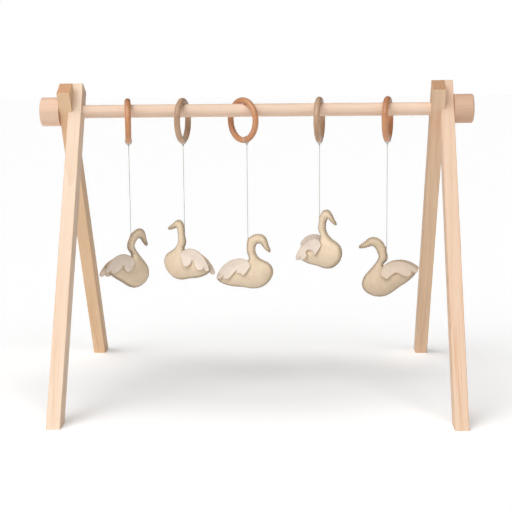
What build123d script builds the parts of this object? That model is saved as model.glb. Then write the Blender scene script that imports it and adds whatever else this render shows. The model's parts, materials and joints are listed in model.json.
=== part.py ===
from build123d import *
import math
import os

# Play gym: two crossed-leg end frames joined by a crossbar, with five wooden rings on the bar
# and a stuffed felt swan hung from each ring on a string.
# Millimetres. X runs along the crossbar, Y from front to back, Z up. Origin: floor, centre.

# end frames
FRAME_WIDTH = 600.0        # over the outer faces of the outer legs
LEG_WIDTH = 20.0           # along X
LEG_DEPTH = 30.5           # across the leg, in its leaning plane
LEG_LAP = 6.0              # how far the two legs of a frame let into each other along X
LEG_LEAN = 28.4            # degrees from upright, each leg
LEG_HEAD = 41.0            # from the bar's axis to the leg's square top, along the leg
EDGE_EASE = 0.8            # broken edges of the legs

# crossbar
BAR_DIAMETER = 20.0
BAR_HEIGHT = 431.0         # axis above the floor
BAR_HOLE_PLAY = 0.2        # on the diameter of the holes in the legs

# knobs and their hardware
KNOB_DIAMETER = 44.0
KNOB_LENGTH = 30.0
KNOB_OUTER_ROUND = 3.0
KNOB_INNER_ROUND = 1.0
SCREW_DIAMETER = 6.0
SCREW_IN_BAR = 28.0
SCREW_IN_KNOB = 18.0
INSERT_DIAMETER = 10.0
INSERT_LENGTH = 17.0
PLAY = 0.04                # radial, between screw and insert
SNUG = 0.02                # radial, round glued and driven pieces

# rings
RING_OUTER = 70.0
RING_TUBE = 9.4
REST_GAP = 0.3             # between a ring's inside and the top of the bar

# strings
STRING_DIAMETER = 1.0
KNOT_DIAMETER = 3.2
LOOP_GAP = 0.3             # between a loop and its ring
STRING_LIFT = 2.8          # bottom of the string above its point on the swan's neck

# stations along the bar, from left to right: where the ring hangs, how it is turned about
# the upright, how far its loop sits from its lowest point towards the front, how high the
# string meets the swan, the swan's heading, and how the soft swan is bent: body tilt (tail up),
# body shift, head tilt (beak up), reach of the head, lean of the neck, and for the left and the
# right wing its tilt (tail up) and its shift along and up
STATIONS = (
    dict(x=-197.0, ring_turn=8.5, loop_at=0.0, neck=239.7, heading=48.5, body=23.0,
         shift=(-7.0, -3.3), head=-4.3, reach=0.92, lean=-10.5, wings=((-15, -9, 0), (-15, -9, 0))),
    dict(x=-112.6, ring_turn=-10.3, loop_at=0.0, neck=245.7, heading=147.5, body=2.2,
         shift=(1.6, -5.4), head=38.5, reach=0.72, lean=-3.4, wings=((-5, -6, 4), (-5, -6, 2))),
    dict(x=-19.8, ring_turn=42.0, loop_at=14.0, neck=233.3, heading=-8.0, body=-3.6,
         shift=(-1.6, -1.5), head=-2.8, reach=1.0, lean=-2.0, wings=((0, 0, 1), (0, 0, 1.5))),
    dict(x=97.2, ring_turn=-8.7, loop_at=0.0, neck=265.8, heading=-40.0, body=-1.4,
         shift=(3.8, -4.6), head=17.4, reach=0.8, lean=-2.8, wings=((16, 0, 0), (-8, 2, 0))),
    dict(x=201.0, ring_turn=-11.8, loop_at=0.0, neck=216.4, heading=174.0, body=27.0,
         shift=(-3.9, 1.3), head=28.7, reach=1.08, lean=-6.3, wings=((-3, -2, -1.5), (0, -4, 0))),
)

# swan, in its own frame: x forward, z up, origin where the string meets the back of the neck
NECK_THICKNESS = 10.0
STUFFING_SIZE = (72.0, 26.0, 31.0)     # of the rounded body: long, across, high
STUFFING_PITCH = 7.0                   # nose down
FELT_THICKNESS = 1.6
WING_THICKNESS = 2.4
WING_STAND = 12.4                      # inner face of the wing's front, from the mid plane
WING_CLOSE = 9.0                       # degrees that the wings close in towards the tail
BODY_CENTRE = (2.0, -55.0)
NECK_TOP = (9.0, -2.0)
WING_PIVOT = (0.0, -42.0)

# the edge of the swan's pattern, starting where the string meets it: each point's x and z, and
# how far it goes with the head and with the body where the swan is bent
BACK_OF_NECK = ((0, 0, 0.85, 0), (-0.8, -7.4, 0.6, 0), (-0.5, -15.2, 0.3, 0),
                (1.2, -23, 0.05, 0.15), (3.7, -29.3, 0, 0.45))
BACK = ((-8, -38, 0, 0.9), (-26, -43, 0, 1), (-40, -51.5, 0, 1), (-48, -59.5, 0, 1))
BELLY = ((-44, -64, 0, 1), (-34.3, -68.8, 0, 1), (-22.6, -71.8, 0, 1), (-7, -73.7, 0, 1),
         (2.7, -75.7, 0, 1), (12.5, -76.2, 0, 1), (22.2, -74.1, 0, 1))
CHEST = ((30, -69.4, 0, 1), (36.9, -62, 0, 1), (40.6, -53.2, 0, 1), (39.8, -44.5, 0, 1),
         (34.9, -37.6, 0, 1), (27.1, -33.3, 0, 0.8))
THROAT = ((20.3, -29.3, 0, 0.5), (15.4, -24, 0.1, 0.2), (12.9, -18.1, 0.3, 0),
          (12.9, -11.3, 0.6, 0), (15, -7, 0.85, 0))
BEAK = ((18.3, -6, 1, 0), (24.2, -11.3, 1, 0), (32, -18.1, 1, 0), (34.4, -19, 1, 0),
        (35.5, -17.6, 1, 0), (33.5, -10.3, 1, 0))
CROWN = ((30.4, -1.6, 1, 0), (26.1, 5.3, 1, 0), (20.3, 8.2, 1, 0), (14.4, 8.4, 1, 0),
         (7.6, 6.2, 1, 0), (3.1, 2.9, 0.95, 0))
PATTERN = BACK_OF_NECK + BACK + BELLY + CHEST + THROAT + BEAK + CROWN
WING_EDGES = (
    ((9.3, -41), (4, -33.5), (-13, -29.2), (-34, -37.5), (-48.5, -57.5)),
    ((-48.5, -57.5), (-45, -60), (-37, -54.5)),
    ((-37, -54.5), (-36.5, -58.5), (-31, -60), (-21, -53.3), (-14, -47)),
    ((-14, -47), (-14.3, -53), (-9.5, -56.6), (0, -52), (9.3, -41)),
)

# worked out from the sizes above
HALF_WIDTH = FRAME_WIDTH / 2
OUTER_INSIDE = HALF_WIDTH - LEG_WIDTH
INNER_OUTSIDE = OUTER_INSIDE + LEG_LAP
LAP_FACE = OUTER_INSIDE + LEG_LAP / 2
LEG_RUN = BAR_HEIGHT / math.cos(math.radians(LEG_LEAN)) + LEG_DEPTH
RING_RADIUS = (RING_OUTER - RING_TUBE) / 2
RING_HEIGHT = BAR_HEIGHT + BAR_DIAMETER / 2 + REST_GAP + RING_TUBE / 2 - RING_RADIUS
LOOP_RADIUS = RING_TUBE / 2 + LOOP_GAP + STRING_DIAMETER / 2
KNOT_DROP = LOOP_RADIUS + STRING_DIAMETER / 2 + KNOT_DIAMETER / 4


def span_box(low_x, high_x, depth, low_z, high_z):
    """A box from low_x to high_x and low_z to high_z, centred on Y."""
    size = Box(high_x - low_x, depth, high_z - low_z)
    return Pos((low_x + high_x) / 2, 0, (low_z + high_z) / 2) * size


def along_x(low_x, high_x, radius):
    """A round bar along X."""
    return Pos((low_x + high_x) / 2, 0, 0) * Rot(0, 90, 0) * Cylinder(radius, high_x - low_x)


def leaning(shape, foot):
    """Leans an upright shape about the bar's axis, its foot to the front (-1) or back (+1)."""
    return Pos(0, 0, BAR_HEIGHT) * Rot(foot * LEG_LEAN, 0, 0) * shape


def leg(side, outer):
    """One leg. side is -1 or +1 along X; outer legs stand at the frame's outside."""
    foot = side * (-1 if outer else 1)
    near, far = (OUTER_INSIDE, HALF_WIDTH) if outer else (INNER_OUTSIDE - LEG_WIDTH, INNER_OUTSIDE)
    lap = (OUTER_INSIDE, LAP_FACE) if outer else (LAP_FACE, INNER_OUTSIDE)
    low_x, high_x = sorted((side * near, side * far))
    blank = span_box(low_x, high_x, LEG_DEPTH, -LEG_RUN, LEG_HEAD)
    blank = fillet(blank.edges(), EDGE_EASE)
    lap_low, lap_high = sorted((side * lap[0], side * lap[1]))
    housing = span_box(lap_low, lap_high, LEG_DEPTH, -LEG_RUN, LEG_RUN)
    hole = along_x(low_x - 1, high_x + 1, (BAR_DIAMETER + BAR_HOLE_PLAY) / 2)
    under_floor = Pos(0, 0, -LEG_RUN / 2) * Box(2 * FRAME_WIDTH, 2 * FRAME_WIDTH, LEG_RUN)
    piece = leaning(blank, foot) - leaning(housing, -foot) - Pos(0, 0, BAR_HEIGHT) * hole
    return piece - under_floor


def crossbar():
    """The bar, bored at both ends for the screws."""
    bar = along_x(-HALF_WIDTH, HALF_WIDTH, BAR_DIAMETER / 2)
    bar = chamfer(bar.edges().filter_by(GeomType.CIRCLE), EDGE_EASE)
    for side in (-1, 1):
        low, high = sorted((side * (HALF_WIDTH - SCREW_IN_BAR - 1), side * (HALF_WIDTH + 1)))
        bar -= along_x(low, high, SCREW_DIAMETER / 2 + SNUG)
    return Pos(0, 0, BAR_HEIGHT) * bar


def end_screws():
    """The two double-ended screws that hold the knobs."""
    pieces = []
    for side in (-1, 1):
        ends = sorted((side * (HALF_WIDTH - SCREW_IN_BAR), side * (HALF_WIDTH + SCREW_IN_KNOB)))
        screw = along_x(ends[0], ends[1], SCREW_DIAMETER / 2)
        pieces.append(Pos(0, 0, BAR_HEIGHT) * chamfer(screw.edges().filter_by(GeomType.CIRCLE), 1.0))
    return Compound(children=pieces)


def knob(side):
    """A turned end knob, bored for its insert and for the end of the screw."""
    body = along_x(HALF_WIDTH, HALF_WIDTH + KNOB_LENGTH, KNOB_DIAMETER / 2)
    rims = body.edges().filter_by(GeomType.CIRCLE).sort_by(Axis.X)
    body = fillet(rims[-1], KNOB_OUTER_ROUND)
    rims = body.edges().filter_by(GeomType.CIRCLE).sort_by(Axis.X)
    body = fillet(rims[0], KNOB_INNER_ROUND)
    body -= along_x(HALF_WIDTH - 1, HALF_WIDTH + INSERT_LENGTH + SNUG, INSERT_DIAMETER / 2 + SNUG)
    body -= along_x(HALF_WIDTH, HALF_WIDTH + SCREW_IN_KNOB + 2, SCREW_DIAMETER / 2 + PLAY)
    return Pos(0, 0, BAR_HEIGHT) * (body if side > 0 else mirror(body, about=Plane.YZ))


def knob_insert(side):
    """The threaded metal sleeve set in a knob."""
    start = HALF_WIDTH + 0.5
    sleeve = along_x(start, HALF_WIDTH + INSERT_LENGTH, INSERT_DIAMETER / 2)
    sleeve -= along_x(start - 1, HALF_WIDTH + INSERT_LENGTH + 1, SCREW_DIAMETER / 2 + PLAY)
    return Pos(0, 0, BAR_HEIGHT) * (sleeve if side > 0 else mirror(sleeve, about=Plane.YZ))


def ring_frame(station):
    """The ring's own frame: x along its axis, y to the back in its plane."""
    return Pos(station["x"], 0, RING_HEIGHT) * Rot(0, 0, station["ring_turn"])


def ring(station):
    """A turned wooden ring that hangs on the bar."""
    return ring_frame(station) * Rot(0, 90, 0) * Torus(RING_RADIUS, RING_TUBE / 2)


def loop_frame(station):
    """The frame of the string's loop: z down from the middle of the ring's tube."""
    tilt = Rot(-station["loop_at"], 0, 0)
    return ring_frame(station) * tilt * Pos(0, 0, -RING_RADIUS)


def knot_place(station):
    """The middle of the knot under the ring."""
    return (loop_frame(station) * Pos(0, 0, -KNOT_DROP)).position


def string_loop(station):
    """The loop round the ring, with its knot."""
    loop = Rot(90, 0, 0) * Torus(LOOP_RADIUS, STRING_DIAMETER / 2)
    knot = Pos(0, 0, -KNOT_DROP) * Sphere(KNOT_DIAMETER / 2)
    return loop_frame(station) * (loop + knot)


def string(station):
    """The taut string from the knot to the swan."""
    top = knot_place(station)
    high = top.Z - KNOT_DIAMETER / 2 - REST_GAP
    low = station["neck"] + STRING_LIFT
    return Pos(top.X, top.Y, (high + low) / 2) * Cylinder(STRING_DIAMETER / 2, high - low)


def turned(points, centre, degrees):
    """The points turned about the centre, beak side up for a positive angle."""
    turn, out = math.radians(degrees), []
    for x, z in points:
        dx, dz = x - centre[0], z - centre[1]
        out.append((centre[0] + dx * math.cos(turn) - dz * math.sin(turn),
                    centre[1] + dx * math.sin(turn) + dz * math.cos(turn)))
    return out


def side_face(edges):
    """A face in the swan's mid plane, from lists of points that follow one another."""
    wires = [Spline(*[Vector(x, 0, z) for x, z in points]) for points in edges]
    return make_face(wires)


def bent(station, x, z, with_head, with_body):
    """A point of the pattern where the bent swan has it, before the swan is hung."""
    x = NECK_TOP[0] + (x - NECK_TOP[0]) * (1 + (station["reach"] - 1) * with_head**2)
    (x, z), = turned([(x, z)], NECK_TOP, station["head"] * with_head)
    (x, z), = turned([(x, z)], BODY_CENTRE, -station["body"] * with_body)
    x += station["shift"][0] * with_body + station["lean"] * (1 - with_head - with_body)
    return x, z + station["shift"][1] * with_body


def hung(station, points):
    """Points of the bent swan, moved so that the string's end is the origin."""
    at = bent(station, *PATTERN[0])
    return [(x - at[0], z - at[1]) for x, z in points]


def swan_outline(station):
    """The swan's side outline as one closed list of points."""
    return hung(station, [bent(station, *point) for point in PATTERN])


def egg(size, station):
    """An ellipsoid in the swan's body."""
    ball = scale(Sphere(1.0), by=(size[0] / 2, size[1] / 2, size[2] / 2))
    (x, z), = hung(station, [bent(station, *BODY_CENTRE, 0, 1)])
    return Pos(x, 0, z) * Rot(0, STUFFING_PITCH + station["body"], 0) * ball


def swan_bulk(station):
    """The swan's whole closed body: a flat outline as thick as the neck, and a round belly."""
    loop = Spline(*[Vector(x, 0, z) for x, z in swan_outline(station)], periodic=True)
    flat = extrude(make_face(loop), amount=NECK_THICKNESS / 2, dir=(0, 1, 0), both=True)
    return flat + egg(STUFFING_SIZE, station)


def swan_place(station):
    """Where the swan hangs, turned to its heading."""
    top = knot_place(station)
    return Pos(top.X, top.Y, station["neck"]) * Rot(0, 0, station["heading"])


def stuffing(station):
    """The filling inside the felt."""
    inner = [length - 2 * FELT_THICKNESS for length in STUFFING_SIZE]
    return egg(inner, station)


def felt_side(station, side):
    """One felt side of the swan, left (+1) or right (-1), hollow where the stuffing is."""
    room = [length - 2 * FELT_THICKNESS + 2 * SNUG for length in STUFFING_SIZE]
    half_space = Pos(0, side * 50, -30) * Box(300, 100, 300)
    return (swan_bulk(station) & half_space) - egg(room, station)


def wing(station, side):
    """A cut felt wing, sewn to the side of the body."""
    tilt, along, up = station["wings"][0 if side > 0 else 1]
    edges = []
    for points in WING_EDGES:
        laid = turned(points, WING_PIVOT, -tilt)
        edges.append(hung(station, [bent(station, x + along, z + up, 0, 1) for x, z in laid]))
    plate = extrude(side_face(edges), amount=WING_THICKNESS, dir=(0, side, 0))
    front = edges[0][0][0]
    closed = Pos(front, side * WING_STAND, 0) * Rot(0, 0, side * WING_CLOSE) * Pos(-front, 0, 0)
    return closed * plate - swan_bulk(station)


def write(name, shape):
    """Writes one sub-part."""
    export_step(shape, os.path.join("parts", name + ".step"))


def main():
    """Builds and writes every sub-part."""
    os.makedirs("parts", exist_ok=True)
    write("crossbar", crossbar())
    write("end_screws", end_screws())
    for side, word in ((-1, "left"), (1, "right")):
        write(f"outer_leg_{word}", leg(side, True))
        write(f"inner_leg_{word}", leg(side, False))
        write(f"knob_{word}", knob(side))
        write(f"knob_insert_{word}", knob_insert(side))
    for number, station in enumerate(STATIONS, 1):
        place = swan_place(station)
        write(f"ring_{number}", ring(station))
        write(f"string_loop_{number}", string_loop(station))
        write(f"string_{number}", string(station))
        write(f"stuffing_{number}", place * stuffing(station))
        for side, word in ((1, "left"), (-1, "right")):
            write(f"swan_{number}_felt_{word}", place * felt_side(station, side))
            write(f"swan_{number}_wing_{word}", place * wing(station, side))
        knot = knot_place(station)
        print(f"station {number}: knot at {knot.X:.2f}, {knot.Y:.2f}, {knot.Z:.2f}")


main()
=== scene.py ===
"""Finishes, felt swans, strings and studio of a wooden play gym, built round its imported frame.

Metres. X runs along the crossbar, Y from front to back, Z up. The soft pieces are worked out in
millimetres in each swan's own frame, x forward and z up, and placed when their mesh is made.
"""

import json
import logging
import math
from collections.abc import Callable, Iterable
from dataclasses import dataclass
from enum import Enum

import bpy
import numpy as np
from mathutils import Matrix, Vector, noise
from mathutils.geometry import delaunay_2d_cdt


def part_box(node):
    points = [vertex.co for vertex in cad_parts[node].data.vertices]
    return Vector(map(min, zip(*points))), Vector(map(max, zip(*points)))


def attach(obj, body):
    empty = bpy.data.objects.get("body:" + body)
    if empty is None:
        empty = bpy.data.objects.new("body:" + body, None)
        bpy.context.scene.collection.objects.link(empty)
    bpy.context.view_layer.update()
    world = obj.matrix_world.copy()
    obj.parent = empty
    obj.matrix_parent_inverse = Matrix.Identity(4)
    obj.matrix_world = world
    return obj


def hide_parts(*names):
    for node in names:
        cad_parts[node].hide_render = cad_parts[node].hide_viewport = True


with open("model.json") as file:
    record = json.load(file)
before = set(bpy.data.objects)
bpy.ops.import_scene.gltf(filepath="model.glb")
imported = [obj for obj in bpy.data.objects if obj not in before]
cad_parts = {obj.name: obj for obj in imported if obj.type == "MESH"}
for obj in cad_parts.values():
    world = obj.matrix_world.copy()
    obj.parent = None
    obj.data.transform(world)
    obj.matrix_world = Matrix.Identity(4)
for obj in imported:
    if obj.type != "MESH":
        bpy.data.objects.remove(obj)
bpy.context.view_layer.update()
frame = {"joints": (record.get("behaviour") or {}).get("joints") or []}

MM = 0.001
log = logging.getLogger("play_gym")
Colour = tuple[float, float, float, float]


def paint(red: int, green: int, blue: int) -> Colour:
    """Turns a display colour into the linear one that a shader takes.

    Args:
        red, green, blue: the display colour, each from 0 to 255.

    Returns:
        The linear colour with full opacity.
    """
    parts = (value / 255 for value in (red, green, blue))
    linear = [p / 12.92 if p <= 0.04045 else ((p + 0.055) / 1.055) ** 2.4 for p in parts]
    return linear[0], linear[1], linear[2], 1.0


class Desk:
    """A material being mixed, with one short call for each kind of node."""

    def __init__(self, name: str) -> None:
        """Starts a material with the given name."""
        self.material = bpy.data.materials.new(name)
        self.material.use_nodes = True
        self.tree = self.material.node_tree
        self.surface = self.tree.nodes["Principled BSDF"]

    def add(self, kind: str, inputs: dict | None = None, **settings: object) -> bpy.types.Node:
        """Adds a node.

        Args:
            kind: the node's type without its ShaderNode prefix.
            inputs: values, or sockets to link, by the input's name or number.
            settings: the node's own properties.

        Returns:
            The node.
        """
        node = self.tree.nodes.new("ShaderNode" + kind)
        for key, value in settings.items():
            setattr(node, key, value)
        for key, value in (inputs or {}).items():
            if isinstance(value, bpy.types.NodeSocket):
                self.tree.links.new(value, node.inputs[key])
            else:
                node.inputs[key].default_value = value
        return node

    def coordinates(self, kind: str = "Object") -> bpy.types.NodeSocket:
        """The piece's own coordinates, or its own normal."""
        return self.add("TexCoord").outputs[kind]

    def laid(self, at: bpy.types.NodeSocket, place: tuple, turn: tuple, scale: tuple) -> bpy.types.NodeSocket:
        """Coordinates in a frame set at a place, turned and scaled there."""
        inputs = {"Vector": at, "Location": place, "Rotation": turn, "Scale": scale}
        return self.add("Mapping", inputs, vector_type="TEXTURE").outputs[0]

    def noise(self, at: bpy.types.NodeSocket, grain: float, detail: float = 2.0,
              rough: float = 0.5) -> bpy.types.NodeSocket:
        """Cloudy noise whose patches are about a grain across, in the coordinates' own unit."""
        inputs = {"Vector": at, "Scale": 1 / grain, "Detail": detail, "Roughness": rough}
        return self.add("TexNoise", inputs).outputs[0]

    def fade(self, value: bpy.types.NodeSocket, start: float, end: float, low: float = 0.0,
             high: float = 1.0) -> bpy.types.NodeSocket:
        """Turns a value that goes from start to end into one that goes from low to high."""
        inputs = {0: value, 1: start, 2: end, 3: low, 4: high}
        return self.add("MapRange", inputs).outputs[0]

    def mix(self, share: bpy.types.NodeSocket | float, first: object, second: object,
            blend: str = "MIX") -> bpy.types.NodeSocket:
        """Blends two colours."""
        inputs = {0: share, 6: first, 7: second}
        return self.add("Mix", inputs, data_type="RGBA", blend_type=blend).outputs[2]

    def sum(self, operation: str, *values: object) -> bpy.types.NodeSocket:
        """Works out one number from others."""
        return self.add("Math", dict(enumerate(values)), operation=operation).outputs[0]

    def relief(self, height: bpy.types.NodeSocket, depth: float, strength: float) -> None:
        """Gives the surface a bump of the given depth in metres."""
        bump = self.add("Bump", {"Height": height, "Distance": depth, "Strength": strength})
        self.tree.links.new(bump.outputs[0], self.surface.inputs["Normal"])

    def finish(self, colour: bpy.types.NodeSocket, rough: bpy.types.NodeSocket | float,
               **constants: float) -> bpy.types.Material:
        """Ends the material.

        Args:
            colour: the surface colour.
            rough: its roughness.
            constants: other values of the surface, by input name with _ for a space.

        Returns:
            The material.
        """
        self.tree.links.new(colour, self.surface.inputs["Base Color"])
        if isinstance(rough, bpy.types.NodeSocket):
            self.tree.links.new(rough, self.surface.inputs["Roughness"])
        else:
            self.surface.inputs["Roughness"].default_value = rough
        for key, value in constants.items():
            self.surface.inputs[key.replace("_", " ")].default_value = value
        return self.material


@dataclass(frozen=True)
class Board:
    """How a piece of wood was cut from the log: its place, its length's direction and its size."""

    place: tuple[float, float, float]
    turn: tuple[float, float, float]
    heart: tuple[float, float]
    half: tuple[float, float] = (1.0, 1.0)


@dataclass(frozen=True)
class Timber:
    """Bare or oiled wood with growth rings, fine fibres, resin streaks and darker end grain."""

    name: str
    pale: Colour
    late: Colour
    streak: Colour
    end: Colour
    ring_gap: float
    ring_show: float
    streak_show: float
    rough: float
    coat: float = 0.0
    end_show: float = 0.8
    corner_band: tuple[float, float] = (1.6 * MM, 0.2 * MM)
    grain_depth: float = 0.35 * MM

    def material(self, label: str, board: Board) -> bpy.types.Material:
        """Mixes the wood for one board.

        Args:
            label: the board's name.
            board: how it lies in the log.

        Returns:
            The material.
        """
        desk = Desk(f"{self.name}_{label}")
        at = desk.laid(desk.coordinates(), board.place, board.turn, (1, 1, 1))
        sway = desk.noise(desk.laid(at, (0, 0, 0), (0, 0, 0), (1, 1, 9)), 0.035, 1.0)
        drift = desk.fade(sway, 0, 1, -0.006, 0.006)
        heart = (-board.heart[0], -board.heart[1], 0)
        shifted = desk.add("VectorMath", {0: at, 1: heart}, operation="ADD").outputs[0]
        bent = desk.add("VectorMath", {0: shifted, 1: drift}, operation="ADD").outputs[0]
        waves = {"Vector": bent, "Scale": 0.1 * math.pi / self.ring_gap, "Distortion": 0.0}
        rings = desk.add("TexWave", waves, wave_type="RINGS", rings_direction="Z",
                         wave_profile="SAW").outputs[1]
        late = desk.sum("POWER", rings, 2.6)
        fibres = desk.noise(desk.laid(at, (0, 0, 0), (0, 0, 0), (1, 1, 45)), 0.0007, 3.0, 0.6)
        lines = desk.noise(desk.laid(at, (0.3, 0, 0), (0, 0, 0), (1, 1, 40)), 0.0035, 2.0, 0.5)
        clouds = desk.noise(desk.laid(at, (0, 0.2, 0), (0, 0, 0), (1, 1, 5)), 0.02, 2.0)
        body = desk.mix(desk.fade(late, 0, 1, 0, self.ring_show), self.pale, self.late)
        body = desk.mix(desk.fade(lines, 0.52, 0.72, 0, self.streak_show), body, self.streak)
        body = desk.mix(desk.fade(clouds, 0.3, 0.75, 0, 0.28), body, self.late)
        body = desk.mix(desk.fade(fibres, 0.35, 0.7, 0, 0.22), body, self.late)
        across = desk.add("SeparateXYZ", {0: at})
        # The leg's four long corners are drawn darker, towards the streak colour.
        rims = [desk.fade(desk.sum("ABSOLUTE", across.outputs[k]), board.half[k] - self.corner_band[0],
                          board.half[k] - self.corner_band[1]) for k in (0, 1)]
        corner_mask = desk.sum("MULTIPLY", rims[0], rims[1])
        body = desk.mix(desk.fade(corner_mask, 0, 1, 0, 0.45), body, self.streak)
        spin = Matrix.Rotation(board.turn[0], 3, "X") @ Matrix.Rotation(board.turn[1], 3, "Y")
        spin = Matrix.Rotation(board.turn[2], 3, "Z") @ spin
        facing = desk.add("VectorMath", {0: desk.coordinates("Normal"), 1: spin @ Vector((0, 0, 1))},
                          operation="DOT_PRODUCT").outputs[1]
        cut = desk.fade(desk.sum("ABSOLUTE", facing), 0.72, 0.96, 0, self.end_show)
        pores = desk.noise(at, 0.0017, 1.0, 0.4)
        ringed, pored = desk.fade(late, 0.15, 0.8, 0, 0.8), desk.fade(pores, 0.5, 0.6, 0, 0.75)
        dark = desk.sum("MAXIMUM", ringed, pored)
        open_grain = desk.mix(dark, self.end, self.streak, "MULTIPLY")
        body = desk.mix(cut, body, open_grain)
        height = desk.sum("ADD", desk.sum("MULTIPLY", fibres, 0.7), desk.sum("MULTIPLY", late, 0.3))
        desk.relief(height, self.grain_depth, 0.35)
        rough = desk.fade(fibres, 0.2, 0.8, self.rough - 0.06, self.rough + 0.08)
        return desk.finish(body, rough, Coat_Weight=self.coat, Coat_Roughness=0.22,
                           Specular_IOR_Level=0.4)


@dataclass(frozen=True)
class Felt:
    """Wool felt: matted fibres, soft mottling, a faint bloom of loose hairs, and a darker tone near its cut
    edge that is partly its own colour and partly painted shade.
    """

    name: str
    tone: Colour
    deep: Colour
    bright: Colour
    rim: Colour
    edge_and_shade_show: float
    hair: float = 0.42 * MM
    fleck: float = 1.6 * MM
    cloud: float = 11.0 * MM
    nap_depth: float = 0.5 * MM

    def material(self) -> bpy.types.Material:
        """Mixes the felt.

        Returns:
            The material.
        """
        desk = Desk(self.name)
        at = desk.coordinates()
        hairs = [desk.noise(desk.laid(at, (0, 0, 0), turn, (1, 1, 9)), self.hair, 2.0, 0.6)
                 for turn in ((0.3, 0.9, 0.0), (1.4, -0.5, 0.7), (-0.7, 0.2, 2.1))]
        mat = desk.sum("MAXIMUM", hairs[0], desk.sum("MAXIMUM", hairs[1], hairs[2]))
        clouds = desk.noise(at, self.cloud, 3.0, 0.55)
        flecks = desk.noise(at, self.fleck, 3.0, 0.6)
        body = desk.mix(desk.fade(clouds, 0.35, 0.68, 0, 0.45), self.tone, self.deep)
        body = desk.mix(desk.fade(flecks, 0.54, 0.7, 0, 0.5), body, self.deep)
        body = desk.mix(desk.fade(mat, 0.56, 0.72, 0, 0.6), body, self.bright)
        # Partly painted shade: points near the cut edge and along the seam take the rim colour.
        rim = desk.add("Attribute", attribute_name="rim").outputs["Fac"]
        body = desk.mix(desk.fade(rim, 0.1, 0.9, 0, self.edge_and_shade_show), body, self.rim)
        height = desk.sum("ADD", desk.sum("MULTIPLY", mat, 0.7), desk.sum("MULTIPLY", flecks, 0.5))
        desk.relief(height, self.nap_depth, 0.6)
        return desk.finish(body, 0.94, Specular_IOR_Level=0.15, Sheen_Weight=0.25,
                           Sheen_Roughness=0.45)


@dataclass(frozen=True)
class Thread:
    """Plied cotton thread, with its twist in relief where it hangs upright, and painted shade in the grooves
    between its plies.
    """

    name: str
    tone: Colour
    deep: Colour
    lay_length: float = 2.6 * MM
    ply_depth: float = 0.25 * MM

    def material(self, axis: tuple[float, float]) -> bpy.types.Material:
        """Mixes the thread.

        Args:
            axis: where the upright middle of the thread stands, in x and y.

        Returns:
            The material.
        """
        desk = Desk(self.name)
        at = desk.laid(desk.coordinates(), (axis[0], axis[1], 0), (0, 0, 0), (1, 1, 1))
        parts = desk.add("SeparateXYZ", {0: at}).outputs
        round_it = desk.sum("MULTIPLY", desk.sum("ARCTAN2", parts[1], parts[0]), 2.0)
        climb = desk.sum("MULTIPLY", parts[2], math.tau / self.lay_length)
        plies = desk.fade(desk.sum("SINE", desk.sum("ADD", round_it, climb)), -1, 1)
        fuzz = desk.noise(at, 0.0003, 3.0, 0.7)
        # Painted shade: the colour darkens in the grooves between the plies, where the relief is low.
        body = desk.mix(desk.fade(plies, 0.0, 0.45, 0.75, 0), self.tone, self.deep)
        body = desk.mix(desk.fade(fuzz, 0.5, 0.75, 0, 0.4), body, self.deep)
        desk.relief(desk.sum("ADD", plies, desk.sum("MULTIPLY", fuzz, 0.4)), self.ply_depth, 0.7)
        return desk.finish(body, 0.85, Specular_IOR_Level=0.25, Sheen_Weight=0.2)


@dataclass(frozen=True)
class Metal:
    """Turned metal with fine marks round it."""

    name: str
    tone: Colour
    dull: Colour
    rough: float

    def material(self) -> bpy.types.Material:
        """Mixes the metal.

        Returns:
            The material.
        """
        desk = Desk(self.name)
        at = desk.coordinates()
        marks = desk.noise(desk.laid(at, (0, 0, 0), (0, 0, 0), (0.1, 3, 3)), 0.0012, 3.0)
        body = desk.mix(desk.fade(marks, 0.4, 0.7, 0, 0.6), self.tone, self.dull)
        desk.relief(marks, 0.0001, 0.3)
        rough = desk.fade(marks, 0.2, 0.8, self.rough - 0.05, self.rough + 0.12)
        return desk.finish(body, rough, Metallic=1.0)


PINE = Timber("pine", paint(243, 220, 198), paint(231, 196, 164), paint(224, 178, 138),
              paint(214, 172, 138), 2.9 * MM, 0.42, 0.5, 0.62)
# Partly painted shade: the right legs' pines are darker to stand in for the light falling off to the right;
# their rosy cast and grain are the wood's own.
ROSY_PINE = Timber("rosy_pine", paint(233, 205, 181), paint(221, 183, 151), paint(216, 165, 123),
                   paint(204, 160, 126), 2.9 * MM, 0.5, 0.7, 0.62)
WARM_PINE = Timber("warm_pine", paint(238, 205, 168), paint(222, 180, 140), paint(216, 166, 120),
                   paint(222, 176, 138), 3.4 * MM, 0.5, 0.6, 0.62)
# Painted shade, in part: darker pine for the back right leg.
SHADED_PINE = Timber("shaded_pine", paint(232, 201, 170), paint(214, 176, 142), paint(208, 164, 126),
                   paint(200, 158, 124), 3.4 * MM, 0.5, 0.5, 0.62)
BEECH = Timber("beech", paint(238, 212, 190), paint(224, 188, 160), paint(220, 176, 144),
               paint(196, 152, 122), 2.2 * MM, 0.3, 0.35, 0.55)
KNOB_BEECH = Timber("knob_beech", paint(236, 204, 180), paint(218, 178, 150), paint(214, 168, 138),
                    paint(206, 166, 138), 2.4 * MM, 0.35, 0.4, 0.58)
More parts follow.
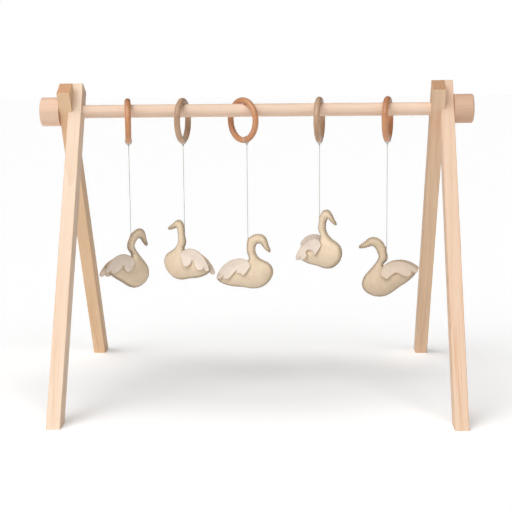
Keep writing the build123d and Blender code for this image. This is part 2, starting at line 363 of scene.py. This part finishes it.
# Painted shade: the right knob's beech is darker to stand in for the light falling off to the right.
SHADED_KNOB = Timber("shaded_knob", paint(216, 180, 153), paint(198, 156, 128), paint(192, 146, 116),
                   paint(190, 150, 124), 2.4 * MM, 0.35, 0.4, 0.58)
RING_WARM = Timber("ring_warm", paint(212, 154, 112), paint(182, 122, 82), paint(166, 102, 64),
                   paint(178, 116, 76), 2.0 * MM, 0.45, 0.4, 0.4, 0.4, 0.4)
RING_DULL = Timber("ring_dull", paint(203, 168, 138), paint(170, 134, 104), paint(156, 118, 90),
                   paint(168, 130, 102), 2.0 * MM, 0.45, 0.4, 0.42, 0.35, 0.4)
BODY_FELT = Felt("body_felt", paint(231, 211, 184), paint(214, 189, 158), paint(240, 225, 203),
                 paint(164, 146, 122), 0.75)
# Painted shade: SHADED_FELT and SHADED_WING are darker copies of the body and wing felts, standing in for the
# weaker light on swan 5.
SHADED_FELT = Felt("shaded_felt", paint(216, 196, 170), paint(198, 174, 144), paint(226, 210, 188),
                   paint(150, 132, 108), 0.75)
WING_FELT = Felt("wing_felt", paint(229, 214, 200), paint(214, 197, 181), paint(238, 227, 216),
                 paint(192, 166, 132), 0.75)
SHADED_WING = Felt("shaded_wing", paint(216, 198, 180), paint(200, 181, 162), paint(226, 211, 196),
                   paint(178, 152, 118), 0.75)
COTTON = Thread("cotton", paint(198, 193, 187), paint(156, 150, 142))
SEWING_THREAD = Thread("sewing_thread", paint(166, 142, 112), paint(132, 110, 84))
STEEL = Metal("steel", paint(200, 200, 198), paint(160, 160, 158), 0.3)
BRASS = Metal("brass", paint(212, 182, 120), paint(176, 146, 90), 0.32)


class Side(Enum):
    """A swan's side, seen from behind it."""

    LEFT = 1
    RIGHT = -1

    @property
    def word(self) -> str:
        """The side's name in node names."""
        return self.name.lower()


class Foot(Enum):
    """Which way a leg leans: where its foot stands."""

    FRONT = -1
    BACK = 1


def select_only(piece: bpy.types.Object) -> None:
    """Deselects everything, then selects one piece and makes it the active one."""
    bpy.ops.object.select_all(action="DESELECT")
    piece.select_set(True)
    bpy.context.view_layer.objects.active = piece


def dress(node: str, material: bpy.types.Material) -> None:
    """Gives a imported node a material."""
    piece = bpy.data.objects[node]
    for slot in piece.material_slots:
        slot.material = material
    log.info("dressed %s in %s", node, material.name)


def new_piece(name: str, points: np.ndarray, faces: Iterable[tuple[int, ...]],
              material: bpy.types.Material) -> bpy.types.Object:
    """Makes a mesh piece with its faces pointing outwards.

    Args:
        name: the piece's name.
        points: its points, in metres.
        faces: its faces.
        material: its finish.

    Returns:
        The piece.
    """
    mesh = bpy.data.meshes.new(name)
    mesh.from_pydata([tuple(p) for p in points], [], [tuple(int(i) for i in f) for f in faces])
    piece = bpy.data.objects.new(name, mesh)
    bpy.context.collection.objects.link(piece)
    mesh.materials.append(material)
    select_only(piece)
    bpy.ops.object.mode_set(mode="EDIT")
    bpy.ops.mesh.select_all(action="SELECT")
    bpy.ops.mesh.normals_make_consistent(inside=False)
    bpy.ops.object.mode_set(mode="OBJECT")
    bpy.ops.object.shade_smooth()
    return piece


def mark_rim(piece: bpy.types.Object, depth: np.ndarray, reach: float) -> None:
    """Marks a felt piece's points near its cut edge, for its material to darken, partly as the edge's own
    colour and partly as painted shade.

    Args:
        piece: the felt piece.
        depth: each point's distance from the edge, in millimetres.
        reach: the distance over which the mark fades.
    """
    rim = piece.data.attributes.new("rim", "FLOAT", "POINT")
    rim.data.foreach_set("value", np.exp(-depth / reach).astype(np.float32))


def tubes(paths: list[np.ndarray], radius: float, sides: int) -> tuple[np.ndarray, list]:
    """Lays a round closed tube along each path.

    Args:
        paths: the tubes' centre points.
        radius: of every tube.
        sides: faces round it.

    Returns:
        The points and faces of all the tubes.
    """
    points, faces = [], []
    turns = np.linspace(0, math.tau, sides, endpoint=False)
    for path in paths:
        start, ahead = len(points), np.gradient(path, axis=0)
        ahead /= np.linalg.norm(ahead, axis=1)[:, None]
        out = np.cross(ahead[0], (0.3, 0.5, 0.8))
        for point, along in zip(path, ahead):
            out = out - along * (out @ along)
            out /= np.linalg.norm(out)
            side = np.cross(along, out)
            points += [point + radius * (math.cos(t) * out + math.sin(t) * side) for t in turns]
        for row in range(len(path) - 1):
            a, b = start + row * sides, start + (row + 1) * sides
            faces += [(a + k, a + (k + 1) % sides, b + (k + 1) % sides, b + k)
                      for k in range(sides)]
        faces += [tuple(range(start, start + sides)), tuple(range(len(points) - sides, len(points)))]
    return np.array(points), faces


class Panel:
    """A flat cut of cloth, filled with even triangles. Millimetres, x forward and z up."""

    def __init__(self, loop: np.ndarray, rim_step: float, fill_step: float) -> None:
        """Fills a closed loop of points; the rim's points come first."""
        self.rim = self.even(loop, rim_step)
        self.rim_count = len(self.rim)
        low, high = self.rim.min(0), self.rim.max(0)
        rows = np.arange(low[1], high[1], fill_step * math.sqrt(0.75))
        columns = np.arange(low[0], high[0], fill_step)
        grid = np.array([(x + row % 2 * fill_step / 2, z) for row, z in enumerate(rows)
                         for x in columns])
        grid = grid[self.inside(grid) & (self.rim_distance(grid) > 0.62 * fill_step)]
        edges = [(k, (k + 1) % self.rim_count) for k in range(self.rim_count)]
        filled = delaunay_2d_cdt([Vector(p) for p in np.vstack([self.rim, grid])], edges, [], 1, 1e-6)
        self.points = np.array([tuple(p) for p in filled[0]])
        self.triangles = np.array(filled[2])
        self.depth = self.rim_distance(self.points)

    @staticmethod
    def even(loop: np.ndarray, step: float) -> np.ndarray:
        """A closed loop's points spaced evenly and anticlockwise, about a step apart."""
        x, z = loop[:, 0], loop[:, 1]
        if (x * np.roll(z, -1) - z * np.roll(x, -1)).sum() < 0:
            loop = loop[::-1]
        closed = np.vstack([loop, loop[:1]])
        along = np.r_[0, np.cumsum(np.linalg.norm(np.diff(closed, axis=0), axis=1))]
        count = round(along[-1] / step)
        at = np.arange(count) * along[-1] / count
        return np.column_stack([np.interp(at, along, closed[:, k]) for k in (0, 1)])

    def inside(self, points: np.ndarray) -> np.ndarray:
        """Whether each point is inside the rim."""
        odd = np.zeros(len(points), bool)
        for (ax, az), (bx, bz) in zip(self.rim, np.roll(self.rim, -1, 0)):
            crosses = (az > points[:, 1]) != (bz > points[:, 1])
            if az != bz:
                at = ax + (points[:, 1] - az) * (bx - ax) / (bz - az)
                odd ^= crosses & (points[:, 0] < at)
        return odd

    def rim_distance(self, points: np.ndarray) -> np.ndarray:
        """How far each point is from the rim."""
        start, step = self.rim, np.roll(self.rim, -1, 0) - self.rim
        best = np.full(len(points), np.inf)
        for a, d in zip(start, step):
            share = np.clip(((points - a) @ d) / (d @ d), 0, 1)
            best = np.minimum(best, np.linalg.norm(points - a - share[:, None] * d, axis=1))
        return best

    def outward(self) -> np.ndarray:
        """The rim's outward directions."""
        ahead = np.roll(self.rim, -1, 0) - np.roll(self.rim, 1, 0)
        ahead /= np.linalg.norm(ahead, axis=1)[:, None]
        return np.column_stack([ahead[:, 1], -ahead[:, 0]])

    def area(self) -> float:
        """The cut's area, in square millimetres."""
        x, z = self.rim[:, 0], self.rim[:, 1]
        return float(abs((x * np.roll(z, -1) - z * np.roll(x, -1)).sum()) / 2)

    def swell(self) -> np.ndarray:
        """How far the cloth would stand up if it were held at its rim and blown up.

        Returns:
            A height for each point: a round section in a narrow strip, an egg in a wide patch.
        """
        corners = self.points[self.triangles]
        sides = [corners[:, (k + 2) % 3] - corners[:, (k + 1) % 3] for k in range(3)]
        double = np.abs(sides[0][:, 0] * sides[1][:, 1] - sides[0][:, 1] * sides[1][:, 0])
        count = len(self.points)
        stiff, load = np.zeros((count, count)), np.zeros(count)
        for i in range(3):
            np.add.at(load, self.triangles[:, i], double / 6)
            for j in range(3):
                share = (sides[i] * sides[j]).sum(1) / (2 * double)
                np.add.at(stiff, (self.triangles[:, i], self.triangles[:, j]), share)
        inner = slice(self.rim_count, count)
        rise = np.zeros(count)
        rise[inner] = np.linalg.solve(stiff[inner, inner], load[inner])
        return np.sqrt(2 * np.maximum(rise, 0))

    def sample(self, values: np.ndarray, points: np.ndarray, spread: float) -> np.ndarray:
        """A value at each of some points, averaged softly from the panel's own points."""
        apart = ((points[:, None] - self.points[None]) ** 2).sum(2)
        weight = np.exp(-apart / (2 * spread ** 2)) + 1e-12
        return weight @ values / weight.sum(1)

    def smoothed(self, values: np.ndarray, rounds: int) -> np.ndarray:
        """The values after each was drawn towards its neighbours' mean a number of times."""
        pairs = np.vstack([self.triangles[:, [0, 1]], self.triangles[:, [1, 2]],
                           self.triangles[:, [2, 0]]])
        pairs = np.unique(np.sort(pairs, 1), axis=0)
        ends = np.r_[pairs[:, 0], pairs[:, 1]]
        others = np.r_[pairs[:, 1], pairs[:, 0]]
        degree = np.bincount(ends, minlength=len(values))
        for _ in range(rounds):
            mean = np.bincount(ends, values[others], len(values)) / degree
            values = 0.5 * (values + mean)
        return values


def node_loop(node: str, to_local: Matrix, chosen: Callable[[Vector, Vector], bool]) -> np.ndarray:
    """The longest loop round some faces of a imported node, in a swan's frame.

    Args:
        node: the node.
        to_local: carries the node's points into the swan's frame.
        chosen: says from a face's middle and normal, in the swan's frame, whether it counts.

    Returns:
        The loop's points, x and z in millimetres.
    """
    mesh = bpy.data.objects[node].data
    points = [to_local @ v.co / MM for v in mesh.vertices]
    keys = [(round(p.x, 3), round(p.z, 3)) for p in points]
    turn = to_local.to_3x3()
    edges: set[tuple] = set()
    for face in mesh.polygons:
        if chosen(to_local @ face.center / MM, turn @ face.normal):
            ring = [keys[i] for i in face.vertices]
            for a, b in zip(ring, ring[1:] + ring[:1]):
                if (b, a) in edges:
                    edges.remove((b, a))
                else:
                    edges.add((a, b))
    after = dict(sorted(edges))
    loops = []
    while after:
        start, at = next(iter(after.items()))
        loop = [start]
        del after[start]
        while at != start and at in after:
            loop.append(at)
            at = after.pop(at)
        loops.append(loop)
    return np.array(max(loops, key=lambda l: np.ptp(np.array(l), axis=0).sum()))


@dataclass
class EndFrames:
    """The legs, the crossbar, the knobs and their hardware."""

    lean: float = math.radians(28.4)
    bar_height: float = 0.431
    leg_half: tuple[float, float] = (0.010, 0.01525)

    def leg_board(self, node: str, foot: Foot, heart: tuple[float, float]) -> Board:
        """How a leg was cut, from the way it leans."""
        low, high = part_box(node)
        place = ((low[0] + high[0]) / 2, 0.0, self.bar_height)
        return Board(place, (foot.value * self.lean, 0.0, 0.0), heart, self.leg_half)

    def bar_board(self, heart: tuple[float, float]) -> Board:
        """How a piece turned along the bar was cut."""
        return Board((0.0, 0.0, self.bar_height), (0.0, math.pi / 2, 0.0), heart)

    def dress(self) -> None:
        """Dresses every piece in its wood or metal."""
        legs = (("inner_leg_left", Foot.FRONT, PINE, (0.004, 0.075)),
                ("outer_leg_left", Foot.BACK, WARM_PINE, (0.052, -0.012)),
                # The two right legs wear darker pine, partly painted shade.
                ("outer_leg_right", Foot.FRONT, ROSY_PINE, (-0.016, 0.052)),
                ("inner_leg_right", Foot.BACK, SHADED_PINE, (0.03, 0.07)))
        for node, foot, wood, heart in legs:
            dress(node, wood.material(node, self.leg_board(node, foot, heart)))
        dress("crossbar", BEECH.material("crossbar", self.bar_board((0.03, 0.05))))
        dress("knob_left", KNOB_BEECH.material("knob_left", self.bar_board((0.045, 0.02))))
        # Painted shade: the right knob wears the darker beech.
        dress("knob_right", SHADED_KNOB.material("knob_right", self.bar_board((-0.03, 0.05))))
        dress("end_screws", STEEL.material())
        insert = BRASS.material()
        dress("knob_insert_left", insert)
        dress("knob_insert_right", insert)


@dataclass
class HangingRing:
    """A turned wooden ring on the bar."""

    number: int
    wood: Timber
    turn: float
    grain: float

    def dress(self) -> None:
        """Dresses the ring in its own cut of wood."""
        node = f"ring_{self.number}"
        low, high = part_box(node)
        middle = tuple((a + b) / 2 for a, b in zip(low, high))
        turn = (math.radians(self.grain), 0.0, math.radians(self.turn))
        dress(node, self.wood.material(node, Board(middle, turn, (0.012, 0.03))))


@dataclass
class HangingString:
    """The taut string under a ring, with its loop and its knot."""

    number: int
    diameter: float = 1.0 * MM
    ply_radius: float = 0.48 * MM
    loop_radius: float = 5.25 * MM
    wrap_radius: float = 0.95 * MM
    wraps: float = 2.5
    wrap_height: float = 1.045 * MM
    enters_knot: float = 1.0 * MM
    enters_felt: float = 2.2 * MM
    straight: float = 6.0 * MM
    neck_width: float = 0.5
    neck_reach: float = 0.12

    def joint(self, name: str) -> dict:
        """A joint of this station, by the start of its name."""
        return next(j for j in frame["joints"] if j["name"].startswith(name))

    def build(self) -> None:
        name = f"string_{self.number}"
        low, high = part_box(name)
        x, y = (low[0] + high[0]) / 2, (low[1] + high[1]) / 2
        cotton = COTTON.material((x, y))
        tie = self.tie(cotton)
        curve = bpy.data.curves.new(name + "_cord", "CURVE")
        curve.dimensions = "3D"
        spline = curve.splines.new("NURBS")
        route = [(x, y, high[2] + self.enters_knot), (x, y, high[2] - self.straight),
                 (x, y, low[2] - self.enters_felt)]
        spline.points.add(len(route) - 1)
        for point, at in zip(spline.points, route):
            point.co = (*at, 1.0)
        spline.order_u = 3
        spline.use_endpoint_u = True
        curve.bevel_depth = self.diameter / 2
        curve.bevel_resolution = 3
        curve.use_fill_caps = True
        curve.materials.append(cotton)
        cord = bpy.data.objects.new(name + "_cord", curve)
        bpy.context.collection.objects.link(cord)
        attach(cord, name)
        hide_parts(name)
        log.info("built %s_cord, %.1f mm long", name, (high[2] - low[2]) / MM)

    def tie(self, cotton: bpy.types.Material) -> bpy.types.Object:
        """Builds the doubled loop round the ring and the wrapped knot under it."""
        sway = self.joint(f"loop_{self.number}_sway")
        middle = np.array(sway["pos_m"], float)
        along = np.array(sway["axis"], float)
        knot = np.array(self.joint(f"string_{self.number}_swing")["pos_m"], float)
        down = (knot - middle) / np.linalg.norm(knot - middle)
        across = np.cross(along, down)
        paths = []
        for lane in (-0.5, 0.5):
            turns = np.linspace(0, math.tau, 41)[:, None]
            neck = np.exp(-(np.minimum(turns, math.tau - turns) / self.neck_width) ** 2)
            reach = self.loop_radius * (1 + self.neck_reach * neck)
            paths.append(middle + reach * (np.cos(turns) * down + np.sin(turns) * across)
                         + lane * 2 * self.ply_radius * (1 - neck) * along)
        climb = np.linspace(0, 1, 33)[:, None]
        spin = climb * self.wraps * math.tau
        height = (1 - 2 * climb) * self.wrap_height
        paths.append(knot + self.wrap_radius * (np.cos(spin) * along + np.sin(spin) * across)
                     - height * down)
        points, faces = tubes(paths, self.ply_radius, 8)
        piece = new_piece(f"string_{self.number}_tie", points, faces, cotton)
        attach(piece, f"loop_{self.number}")
        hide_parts(f"string_loop_{self.number}")
        log.info("built %s", piece.name)
        return piece


@dataclass
class Swan:
    """A stuffed felt swan: two sides sewn round their outline, and a cut wing on each side.

    Sizes are in millimetres. The curls say how far each wing's lobes stand off, the flare how far
    its tail does, and left_down and right_down how much lower a wing is sewn than its mate.
    """

    number: int
    heading: float
    left_curl: float
    right_curl: float
    flare: float = 1.5
    left_down: float = 0.0
    right_down: float = 0.0
    string_lift: float = 2.8
    half_thickness: float = 12.4
    edge_thickness: float = 1.25
    edge_round: float = 2.6
    seam_width: float = 1.4
    lump_rise: float = 0.45
    lump_size: float = 9.0
    rim_step: float = 1.1
    fill_step: float = 1.7
    slack: float = 0.9
    swell_limit: float = 2.5
    shell_scale: float = 0.01
    pressure: float = 4.0
    stretch_stiffness: float = 12.0
    bend_stiffness: float = 0.4
    cloth_frames: int = 20
    stitch_step: float = 3.3
    bite: float = 3.3
    thread_radius: float = 0.42
    wing_thickness: float = 1.8
    wing_stand: float = 4.6
    wing_rim_step: float = 0.9
    wing_fill_step: float = 1.5
    lobe_depth: float = 9.0
    rag: float = 0.12

    STITCH = ((1.0, 0.75, -0.35), (0.85, 0.6, 0.12), (0.45, 0.35, 0.24), (0.1, 0.1, 0.2))
    SEAM_BANDS = ((0.12, 0.45), (-0.65, 0.0), (0.12, -0.45))

    def prepare(self) -> None:
        """Reads the swan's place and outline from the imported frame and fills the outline."""
        low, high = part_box(f"string_{self.number}")
        place = Vector(((low[0] + high[0]) / 2, (low[1] + high[1]) / 2,
                        low[2] - self.string_lift * MM))
        self.to_frame = Matrix.Translation(place) @ Matrix.Rotation(
            math.radians(self.heading), 4, "Z")
        to_local = self.to_frame.inverted()
        loop = node_loop(f"swan_{self.number}_felt_left", to_local,
                         lambda middle, normal: abs(middle.y) < 0.005 and normal.y < -0.99)
        self.panel = Panel(loop, self.rim_step, self.fill_step)
        swell = self.panel.swell()
        depth = self.panel.depth
        full = swell * (self.half_thickness / swell.max()) * (1 - np.exp(-depth / self.edge_round))
        self.height = self.edge_thickness + full * np.clip(depth / self.seam_width - 0.45, 0, 1) * 0.97
        self.height += self.lumps(self.panel.points) * np.clip(depth / 6, 0, 1)
        self.wings = {side: node_loop(
            f"swan_{self.number}_wing_{side.word}", to_local,
            lambda middle, normal, side=side: normal.y * side.value > 0.9) for side in Side}

    def lumps(self, points: np.ndarray) -> np.ndarray:
        """Gentle unevenness of the filling."""
        size = self.lump_size
        return np.array([self.lump_rise * noise.noise(Vector((x / size, z / size, 7.0 * self.number)))
                         for x, z in points])

    def placed(self, points: np.ndarray) -> np.ndarray:
        """Carries points of the swan's frame, in millimetres, into the gym's frame."""
        turn = np.array(self.to_frame.to_3x3())
        return points * MM @ turn.T + np.array(self.to_frame.translation)

    def own(self, piece: bpy.types.Object, slot: str, *nodes: str) -> None:
        """Makes a piece ride with the swan and stand for some nodes."""
        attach(piece, f"swan_{self.number}")
        if nodes:
            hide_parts(*nodes)
        log.info("built %s", piece.name)

    def build_body(self, felt: bpy.types.Material) -> None:
        """Builds the two stuffed sides with the seam edge between them."""
        panel = self.panel
        count, rim_count = len(panel.points), panel.rim_count
        x, z = panel.points[:, 0], panel.points[:, 1]
        along = np.arange(rim_count) * self.rim_step
        pull = 0.5 + 0.5 * np.cos(along * math.tau / self.stitch_step)
        outward = panel.outward()
        points = [np.column_stack([x, self.height, z]), np.column_stack([x, -self.height, z])]
        for out, across in self.SEAM_BANDS:
            edge = panel.rim + outward * (out - 0.25 * pull[:, None])
            points.append(np.column_stack([edge[:, 0], np.full(rim_count, across), edge[:, 1]]))
        faces = [tuple(t[::-1]) for t in panel.triangles]
        faces += [tuple(t + count) for t in panel.triangles]
        bands = [0, *(2 * count + k * rim_count for k in range(len(self.SEAM_BANDS))), count]
        for a, b in zip(bands, bands[1:]):
            faces += [(a + k, a + (k + 1) % rim_count, b + (k + 1) % rim_count, b + k)
                      for k in range(rim_count)]
        points = np.vstack(points)
        held = [*range(rim_count), *range(count, count + rim_count), *range(2 * count, len(points))]
        points = self.stuffed(points, faces, held, felt)
        self.height = np.maximum(points[:count, 1], -points[count:2 * count, 1])
        piece = new_piece(f"swan_{self.number}_body", self.placed(points), faces, felt)
        # Partly painted shade: the seam edge and the points near it are darkened towards the felt's rim
        # colour.
        mark_rim(piece, np.r_[panel.depth, panel.depth, np.zeros(len(points) - 2 * count)], 1.1)
        fine = piece.modifiers.new("fine", "SUBSURF")
        fine.levels = fine.render_levels = 1
        bpy.ops.object.modifier_apply(modifier=fine.name)
        self.own(piece, "body_felt", f"swan_{self.number}_felt_left",
                 f"swan_{self.number}_felt_right", f"stuffing_{self.number}")

    def stuffed(self, points: np.ndarray, faces: list, held: list[int],
                felt: bpy.types.Material) -> np.ndarray:
        """Blows the two felt sides up as cloth that is held along its seam.

        Args:
            points: the slack shell's points, in millimetres.
            faces: its faces.
            held: the points along the seam.
            felt: its finish.

        Returns:
            The points of the filled shell.
        """
        start = points * [1, self.slack, 1]
        start[held] = points[held]
        shell = new_piece("shell", start * self.shell_scale, faces, felt)
        shell.vertex_groups.new(name="seam").add(held, 1.0, "REPLACE")
        cloth = shell.modifiers.new("cloth", "CLOTH")
        cloth.settings.vertex_group_mass = "seam"
        cloth.settings.use_pressure = True
        cloth.settings.uniform_pressure_force = self.pressure
        cloth.settings.quality = 5
        cloth.settings.tension_stiffness = self.stretch_stiffness
        cloth.settings.compression_stiffness = self.stretch_stiffness
        cloth.settings.bending_stiffness = self.bend_stiffness
        cloth.settings.effector_weights.gravity = 0.0
        cloth.collision_settings.use_collision = False
        scene = bpy.context.scene
        for moment in range(1, self.cloth_frames + 1):
            scene.frame_set(moment)
        ready = shell.evaluated_get(bpy.context.evaluated_depsgraph_get()).data
        flat = np.empty(3 * len(points))
        ready.vertices.foreach_get("co", flat)
        moved = flat.reshape(-1, 3) / self.shell_scale - start
        reach = np.linalg.norm(moved, axis=1)[:, None]
        log.info("swan %d swelled by up to %.1f mm", self.number, reach.max())
        bpy.data.objects.remove(shell)
        scene.frame_set(1)
        return start + moved * np.minimum(1, self.swell_limit / np.maximum(reach, 1e-9))

    def stitch(self, point: np.ndarray, out: np.ndarray) -> np.ndarray:
        """The path of one whip stitch, from one side over the seam to the other.

        Args:
            point: where it crosses the rim.
            out: the rim's outward direction there.

        Returns:
            The thread's centre points, in millimetres.
        """
        panel, along = self.panel, np.array([-out[1], out[0]])
        reach = self.bite
        while reach > 0.8 and panel.rim_distance((point - out * reach)[None])[0] < 0.75 * reach:
            reach *= 0.8
        legs = []
        for face in (1, -1):
            leg = []
            for inset, shift, lift in self.STITCH:
                flat = point - out * reach * inset - along * face * shift
                rise = panel.sample(self.height, flat[None], 0.7)[0] + lift
                leg.append((flat[0], face * rise, flat[1]))
            legs.append(leg)
        over = point + out * 0.3
        turn = [(over[0], 0.6, over[1]), (over[0], -0.6, over[1])]
        return np.array(legs[0] + turn + legs[1][::-1])

    def build_stitches(self, thread: bpy.types.Material) -> None:
        """Whips the two sides together all round the outline."""
        panel, outward = self.panel, self.panel.outward()
        count = round(panel.rim_count * self.rim_step / self.stitch_step)
        places = [int(k * panel.rim_count / count) for k in range(count)]
        paths = [self.stitch(panel.rim[at], outward[at]) for at in places]
        points, faces = tubes(paths, self.thread_radius, 5)
        piece = new_piece(f"swan_{self.number}_stitches", self.placed(points), faces, thread)
        self.own(piece, "body_felt")

    def build_wing(self, side: Side, felt: bpy.types.Material) -> None:
        """Builds a wing: one cut layer that lies on the body, with its lobes standing off."""
        curl, down = {Side.LEFT: (self.left_curl, self.left_down),
                      Side.RIGHT: (self.right_curl, self.right_down)}[side]
        wing = Panel(self.wings[side] - (0.0, down), self.wing_rim_step, self.wing_fill_step)
        flat = wing.points
        under = self.panel.sample(self.height, flat, 1.6) * self.panel.inside(flat)
        stand = np.maximum(under + 0.5, self.wing_stand)
        for _ in range(4):
            stand = np.maximum(wing.smoothed(stand, 6), under + 0.4)
        front, tail = wing.rim[wing.rim[:, 0].argmax()], wing.rim[wing.rim[:, 0].argmin()]
        length = np.linalg.norm(tail - front)
        ahead = (tail - front) / length
        back = (flat - front) @ ahead / length
        drop = np.clip((flat - front) @ np.array([-ahead[1], ahead[0]]) / self.lobe_depth, 0, 1)
        stand = stand + curl * drop ** 1.5 + self.flare * np.clip(back - 0.6, 0, 1) / 0.4
        count, rim_count = len(flat), wing.rim_count
        ragged = np.array([self.rag * noise.noise(Vector((x, z, 3.0 * self.number)) * 0.8)
                           for x, z in flat])
        top = stand + self.wing_thickness + ragged
        inner = np.column_stack([flat[:, 0], side.value * stand, flat[:, 1]])
        outer = np.column_stack([flat[:, 0], side.value * top, flat[:, 1]])
        faces = [tuple(t) for t in wing.triangles] + [tuple(t[::-1] + count) for t in wing.triangles]
        faces += [(k, (k + 1) % rim_count, count + (k + 1) % rim_count, count + k)
                  for k in range(rim_count)]
        name = f"swan_{self.number}_wing_{side.word}"
        piece = new_piece(name + "_felt", self.placed(np.vstack([inner, outer])), faces, felt)
        # Partly painted shade: the wing's cut edge is darkened towards the tan rim colour.
        mark_rim(piece, np.r_[wing.depth, wing.depth], 0.5)
        ease = piece.modifiers.new("ease", "BEVEL")
        ease.width = 0.4 * MM
        ease.segments = 2
        ease.limit_method = "ANGLE"
        ease.angle_limit = math.radians(50)
        bpy.ops.object.modifier_apply(modifier=ease.name)
        bpy.ops.object.shade_smooth()
        self.own(piece, "wing_felt", name)
        wing.area() * MM * MM

    def build(self, body: bpy.types.Material, wing: bpy.types.Material,
              thread: bpy.types.Material) -> None:
        """Builds every piece of the swan."""
        self.prepare()
        self.build_body(body)
        self.build_stitches(thread)
        for side in Side:
            self.build_wing(side, wing)


@dataclass
class Studio:
    """A pale floor with a painted pool of shadow under the gym, soft light from above left and the camera."""

    eye: tuple[float, float, float] = (0.081891, -1.872493, 0.492227)
    yaw: float = 0.0446677
    pitch: float = -0.1519213
    roll: float = 0.0098584
    lens: float = 85.57
    floor_size: float = 40.0
    floor_glow: float = 0.22
    shadow_pool: tuple[float, float, float] = (0.36, 0.2, 1.0)
    key_from: tuple[float, float, float] = (-0.56, -0.74, 1.2)
    key_focus: float = 9.0
    key_peak: float = 4.85
    room: float = 0.05
    ground: float = 1.0
    kicker_from: tuple[float, float, float] = (0.5, -0.9, 1.0)
    kicker_angle: float = 22.0
    kicker_strength: float = 0.42

    def build_floor(self) -> None:
        """Lays the floor, which glows faintly but for a painted pool of shadow under the gym, where its glow
        fades.
        """
        bpy.ops.mesh.primitive_plane_add(size=self.floor_size, location=(0, 0, -0.2 * MM))
        floor = bpy.context.object
        floor.name = "floor"
        desk = Desk("floor")
        tone = desk.mix(desk.noise(desk.coordinates(), 0.5), paint(247, 247, 247), paint(249, 249, 249))
        # Painted shadow: the glow fades in an oval round the floor's middle, under the gym, to stand for the
        # gym's shade.
        spread = desk.laid(desk.coordinates(), (0, 0, 0), (0, 0, 0), self.shadow_pool)
        away = desk.add("VectorMath", {0: spread}, operation="LENGTH").outputs["Value"]
        shade = {0: away, 1: 0.35, 2: 1.35, 3: 0.1 * self.floor_glow, 4: self.floor_glow}
        glow = desk.add("MapRange", shade, interpolation_type="SMOOTHSTEP").outputs[0]
        desk.tree.links.new(glow, desk.surface.inputs["Emission Strength"])
        floor.data.materials.append(desk.finish(tone, 0.9, Specular_IOR_Level=0.1,
                                                Emission_Color=(1.0, 1.0, 1.0, 1.0)))

    def build_kicker(self) -> None:
        """Hangs a weak soft sun in front, which lifts the shaded faces."""
        lamp = bpy.data.lights.new("kicker", "SUN")
        lamp.angle = math.radians(self.kicker_angle)
        lamp.energy = self.kicker_strength
        holder = bpy.data.objects.new("kicker", lamp)
        holder.rotation_euler = Vector(self.kicker_from).to_track_quat("Z", "Y").to_euler()
        bpy.context.collection.objects.link(holder)

    def build_world(self) -> None:
        """Surrounds the object with a dim room that has one broad soft light, on a pale ground."""
        world = bpy.data.worlds.new("studio")
        bpy.context.scene.world = world
        world.use_nodes = True
        tree = world.node_tree

        def add(kind: str, *values: object, **settings: object) -> bpy.types.NodeSocket:
            """Adds a node with its inputs in order, and returns its first output."""
            node = tree.nodes.new("ShaderNode" + kind)
            for key, value in settings.items():
                setattr(node, key, value)
            for socket, value in zip(node.inputs, values):
                if isinstance(value, bpy.types.NodeSocket):
                    tree.links.new(value, socket)
                else:
                    socket.default_value = value
            return node.outputs[0]

        way = add("TexCoord")
        facing = tree.nodes.new("ShaderNodeVectorMath")
        facing.operation = "DOT_PRODUCT"
        tree.links.new(way, facing.inputs[0])
        facing.inputs[1].default_value = Vector(self.key_from).normalized()
        lobe = add("Math", add("Math", facing.outputs["Value"], 0.0, operation="MAXIMUM"),
                   self.key_focus, operation="POWER")
        light = add("Math", lobe, self.key_peak, self.room, operation="MULTIPLY_ADD")
        shown = add("MapRange", add("LightPath"), 0.0, 1.0, light, self.ground)
        back = tree.nodes["Background"]
        tree.links.new(shown, back.inputs["Strength"])
        back.inputs["Color"].default_value = (1.0, 1.0, 1.0, 1.0)

    def build_camera(self) -> None:
        """Sets up the camera."""
        data = bpy.data.cameras.new("camera")
        data.lens = self.lens
        data.sensor_width = 36.0
        data.clip_start, data.clip_end = 0.05, 50.0
        camera = bpy.data.objects.new("camera", data)
        turn = Matrix.Rotation(self.yaw, 3, "Z") @ Matrix.Rotation(self.pitch, 3, "X")
        turn = turn @ Matrix.Rotation(self.roll, 3, "Y")
        right, ahead, up = turn.col
        view = Matrix((right, up, -ahead)).transposed().to_4x4()
        camera.matrix_world = Matrix.Translation(self.eye) @ view
        bpy.context.collection.objects.link(camera)
        bpy.context.scene.camera = camera

    def build(self) -> None:
        """Builds the whole studio."""
        bpy.context.scene.view_settings.view_transform = "Standard"
        self.build_camera()
        self.build_floor()
        self.build_world()
        self.build_kicker()


def main() -> None:
    """Builds the gym's looks, piece by piece."""
    logging.basicConfig(level=logging.INFO, format="%(name)s: %(message)s")
    Studio().build()
    for number in range(1, 6):
        HangingString(number).build()
    EndFrames().dress()
    for ring in (HangingRing(1, RING_WARM, 8.5, 20), HangingRing(2, RING_DULL, -10.3, 75),
                 HangingRing(3, RING_WARM, 42, -35), HangingRing(4, RING_DULL, -8.7, 120),
                 HangingRing(5, RING_WARM, -11.8, 55)):
        ring.dress()
    thread = SEWING_THREAD.material((0, 0))
    light = BODY_FELT.material(), WING_FELT.material()
    # Painted shade: swan 5 wears the darker copies of the felts; the other swans wear the lit ones.
    shaded = SHADED_FELT.material(), SHADED_WING.material()
    for swan, felts in ((Swan(1, 48.5, 2.0, 2.2, left_down=6.0), light),
                        (Swan(2, 147.5, 3.5, 1.5, right_down=5.0), light),
                        (Swan(3, -8, 2.0, 2.2, left_down=2.0), light),
                        (Swan(4, -40, 2.0, 2.4, flare=4.5), light),
                        (Swan(5, 174, 2.8, 1.5, right_down=3.0), shaded)):
        swan.build(*felts, thread)


if __name__ == "__main__":
    main()
